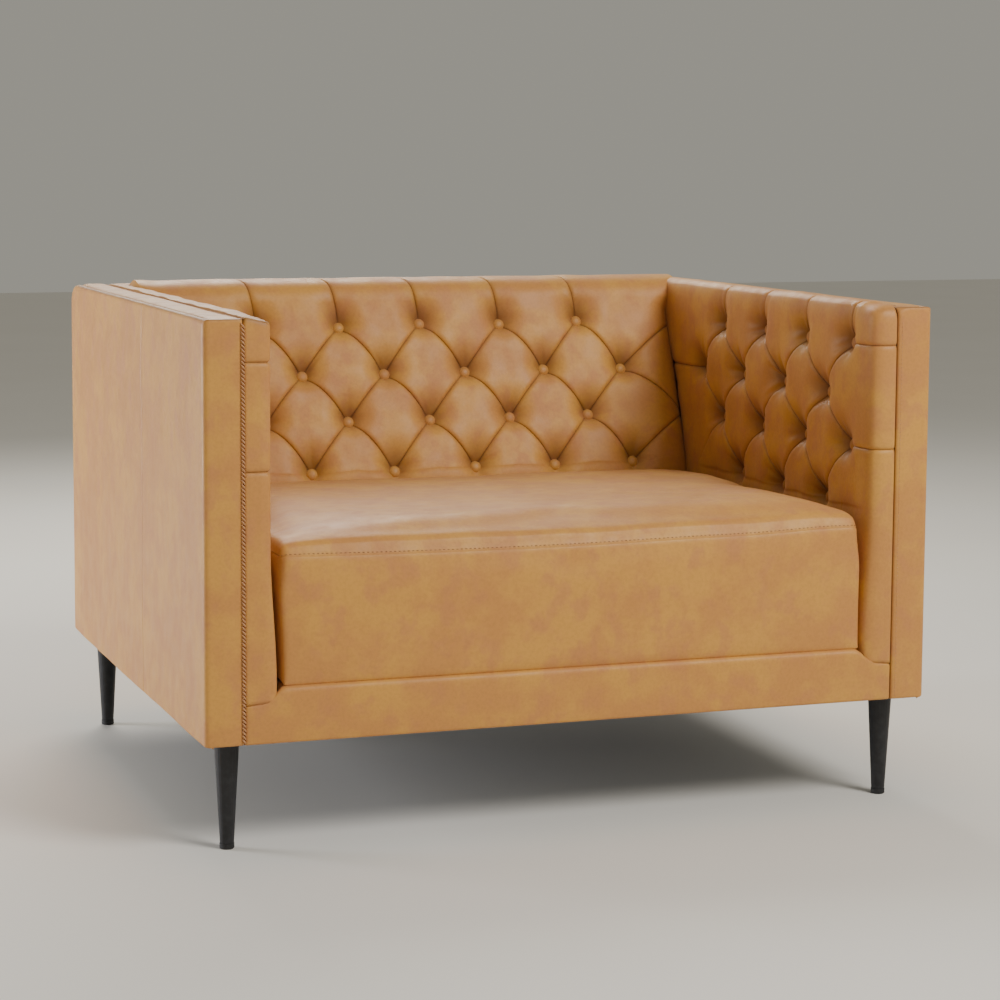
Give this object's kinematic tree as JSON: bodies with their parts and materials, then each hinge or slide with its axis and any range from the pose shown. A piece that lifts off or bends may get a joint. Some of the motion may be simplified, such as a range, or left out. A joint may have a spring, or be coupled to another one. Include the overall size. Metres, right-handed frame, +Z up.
{
  "type": "upholstered armchair",
  "caption": "Low tuxedo armchair with diamond-tufted inside back and arms, a loose bench seat cushion and slim tapered legs.",
  "frame": {"origin": "on the floor, at the centre of the chair's plan", "axes": "+Z up, the seat opens towards -Y, +X to the right of someone facing the chair's front, and node names use left for -X"},
  "size_m": [1.145, 0.98, 0.77],
  "materials": {
    "tan_leather": "semi-matte pigmented hide",
    "timber": "sawn softwood",
    "foam": "open-cell polyurethane foam",
    "deck_cloth": "woven deck cloth over felt",
    "cambric": "black non-woven",
    "webbing": "elastic webbing",
    "spring_steel": "oil-tempered wire",
    "black_metal": "matte black powder coat",
    "black_nylon": "moulded",
    "zinc_plate": "zinc plated"
  },
  "bodies": {
    "frame": {"arm_band_left": "tan_leather", "arm_band_right": "tan_leather", "arm_tack_rail_left": "timber", "arm_tack_rail_right": "timber", "arm_top_rail_left": "timber", "arm_top_rail_right": "timber", "back_stile_left": "timber", "back_stile_middle": "timber", "back_stile_right": "timber", "back_tack_rail": "timber", "back_top_band": "tan_leather", "back_top_rail": "timber", "back_webbing_1": "webbing", "back_webbing_2": "webbing", "back_webbing_3": "webbing", "corner_block_front_left": "timber", "corner_block_front_right": "timber", "corner_block_rear_left": "timber", "corner_block_rear_right": "timber", "dust_cover": "cambric", "front_post_left": "timber", "front_post_right": "timber", "front_rail": "timber", "front_rail_cover": "tan_leather", "glide_front_left": "black_nylon", "glide_front_right": "black_nylon", "glide_rear_left": "black_nylon", "glide_rear_right": "black_nylon", "inside_arm_board_left": "timber", "inside_arm_board_right": "timber", "inside_arm_pad_left": "tan_leather", "inside_arm_pad_right": "tan_leather", "inside_back_pad": "tan_leather", "leg_front_left": "black_metal", "leg_front_right": "black_metal", "leg_plate_front_left": "zinc_plate", "leg_plate_front_right": "zinc_plate", "leg_plate_rear_left": "zinc_plate", "leg_plate_rear_right": "zinc_plate", "leg_rear_left": "black_metal", "leg_rear_right": "black_metal", "outside_arm_cover_left": "tan_leather", "outside_arm_cover_right": "tan_leather", "outside_back_cover": "tan_leather", "rear_post_left": "timber", "rear_post_right": "timber", "rear_rail": "timber", "seat_deck_pad": "deck_cloth", "seat_spring_1": "spring_steel", "seat_spring_2": "spring_steel", "seat_spring_3": "spring_steel", "seat_spring_4": "spring_steel", "seat_spring_5": "spring_steel", "side_rail_left": "timber", "side_rail_right": "timber", "spring_rail": "timber"},
    "seat_cushion": {"seat_cushion_cover": "tan_leather", "seat_cushion_foam": "foam", "seat_cushion_zip": "black_nylon"}
  },
  "joints": [
    {"name": "cushion_lift", "type": "slide", "parent": "frame", "child": "seat_cushion", "axis": [0, 0, 1], "range_m": [0, 0.55]}
  ]
}
